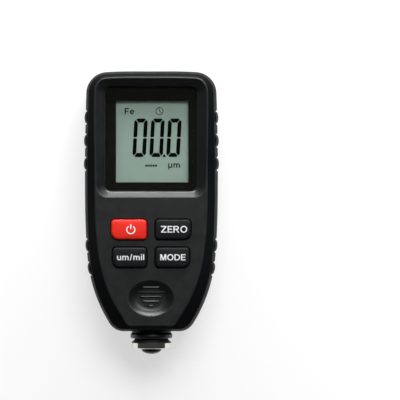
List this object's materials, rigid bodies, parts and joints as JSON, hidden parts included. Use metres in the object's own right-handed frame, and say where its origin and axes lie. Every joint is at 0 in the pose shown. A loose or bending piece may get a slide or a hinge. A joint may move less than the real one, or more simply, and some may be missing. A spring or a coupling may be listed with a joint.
{
  "type": "coating thickness gauge",
  "caption": "Handheld coating thickness gauge: bevelled two-shell case with grip pads, a segment display, push keys, a finger dish and a spring-loaded probe at its lower end.",
  "frame": {"origin": "under the middle of the gauge's length and width, on the plane that its back lies on", "axes": "+Z out of the face, +Y towards the top end (the probe points along -Y), +X to the right seen from the front"},
  "size_m": [0.0502, 0.105, 0.0281],
  "materials": {
    "case_front": "moulded charcoal plastic, satin face",
    "case_back": "moulded charcoal plastic, fine texture",
    "lens": "polished, black border printed behind it",
    "lcd": "grey-green segment display",
    "red_key": "smooth red rubber with a white symbol",
    "dark_key": "finely textured black rubber with white words",
    "silicone": "grey silicone",
    "white_plastic": "white moulded",
    "black_plastic": "black moulded",
    "board": "green lacquered laminate",
    "chip": "moulded resin",
    "steel": "zinc-plated steel",
    "nickel": "nickel-plated sheet",
    "chrome": "polished chrome",
    "iron": "soft iron rod",
    "copper": "enamelled copper winding",
    "cell": "plain grey wrap, bare steel ends",
    "lead": "insulated wire"
  },
  "bodies": {
    "case": {"front_shell": "case_front", "rear_shell": "case_back", "display_lens": "lens", "lcd_panel": "lcd", "lcd_connector_strip": "silicone", "light_guide": "white_plastic", "lcd_frame": "black_plastic", "keypad_mat": "silicone", "main_board": "board", "microcontroller": "chip", "crystal": "steel", "probe_connector": "white_plastic", "case_screw_1": "steel", "case_screw_2": "steel", "case_screw_3": "steel", "case_screw_4": "steel", "board_screw_1": "steel", "board_screw_2": "steel", "board_screw_3": "steel", "board_screw_4": "steel", "cell_left": "cell", "cell_right": "cell", "battery_spring_left": "steel", "battery_spring_right": "steel", "contact_plate_negative": "nickel", "contact_plate_positive": "nickel", "contact_bridge": "nickel", "probe_spring": "steel", "probe_lead": "lead"},
    "power_button": {"power_key": "red_key"},
    "zero_button": {"zero_key": "dark_key"},
    "unit_button": {"unit_key": "dark_key"},
    "mode_button": {"mode_key": "dark_key"},
    "probe": {"probe_sleeve": "chrome", "probe_tip": "chrome", "probe_core": "iron", "probe_bobbin": "white_plastic", "sense_coil": "copper", "drive_coil": "copper", "probe_cap": "black_plastic"},
    "door": {"battery_door": "case_back"}
  },
  "joints": [
    {"name": "power_press", "type": "slide", "parent": "case", "child": "power_button", "axis": [0, 0, -1], "range_m": [0, 0.0009], "stiffness_N_per_m": 800, "springref_m": -0.0003, "deforming": ["keypad_mat"]},
    {"name": "zero_press", "type": "slide", "parent": "case", "child": "zero_button", "axis": [0, 0, -1], "range_m": [0, 0.0009], "stiffness_N_per_m": 800, "springref_m": -0.0003, "deforming": ["keypad_mat"]},
    {"name": "unit_press", "type": "slide", "parent": "case", "child": "unit_button", "axis": [0, 0, -1], "range_m": [0, 0.0009], "stiffness_N_per_m": 800, "springref_m": -0.0003, "deforming": ["keypad_mat"]},
    {"name": "mode_press", "type": "slide", "parent": "case", "child": "mode_button", "axis": [0, 0, -1], "range_m": [0, 0.0009], "stiffness_N_per_m": 800, "springref_m": -0.0003, "deforming": ["keypad_mat"]},
    {"name": "probe_slide", "type": "slide", "parent": "case", "child": "probe", "axis": [0, 1, 0], "range_m": [0, 0.001], "stiffness_N_per_m": 900, "springref_m": -0.0015, "deforming": ["probe_spring", "probe_lead"]},
    {"name": "door_slide", "type": "slide", "parent": "case", "child": "door", "axis": [0, 1, 0], "range_m": [0, 0.008]}
  ]
}
